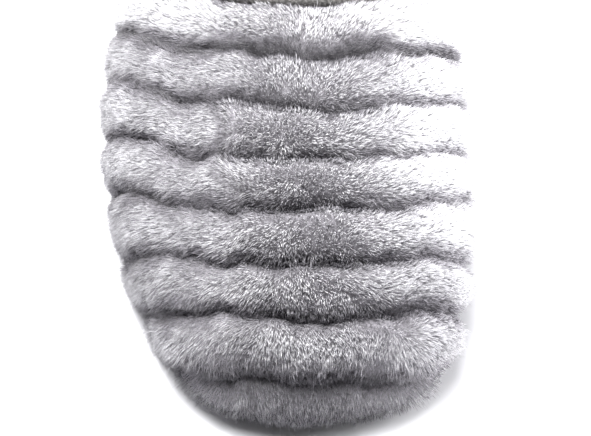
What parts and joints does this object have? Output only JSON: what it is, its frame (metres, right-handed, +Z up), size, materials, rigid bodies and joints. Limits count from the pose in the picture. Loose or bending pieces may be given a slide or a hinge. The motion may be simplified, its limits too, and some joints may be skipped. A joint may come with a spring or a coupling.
{
  "type": "ribbed plush slipper",
  "caption": "Open-backed house slipper for the right foot: deep-pile plush vamp quilted in ribs across the foot, bound throat, padded footbed, lugged rubber sole.",
  "frame": {"origin": "on the floor under the middle of the slipper's box", "axes": "+Y from toe to heel, +X towards the inner (big toe) side of the foot, +Z up"},
  "size_m": [0.117, 0.2552, 0.0744],
  "materials": {
    "plush": "deep faux-fur pile",
    "tape": "woven tape",
    "footbed": "short fleece pile",
    "sole": "matt moulded"
  },
  "bodies": {
    "root": {"upper": "plush", "throat_binding": "tape", "insole": "footbed", "outsole": "sole"}
  },
  "joints": []
}
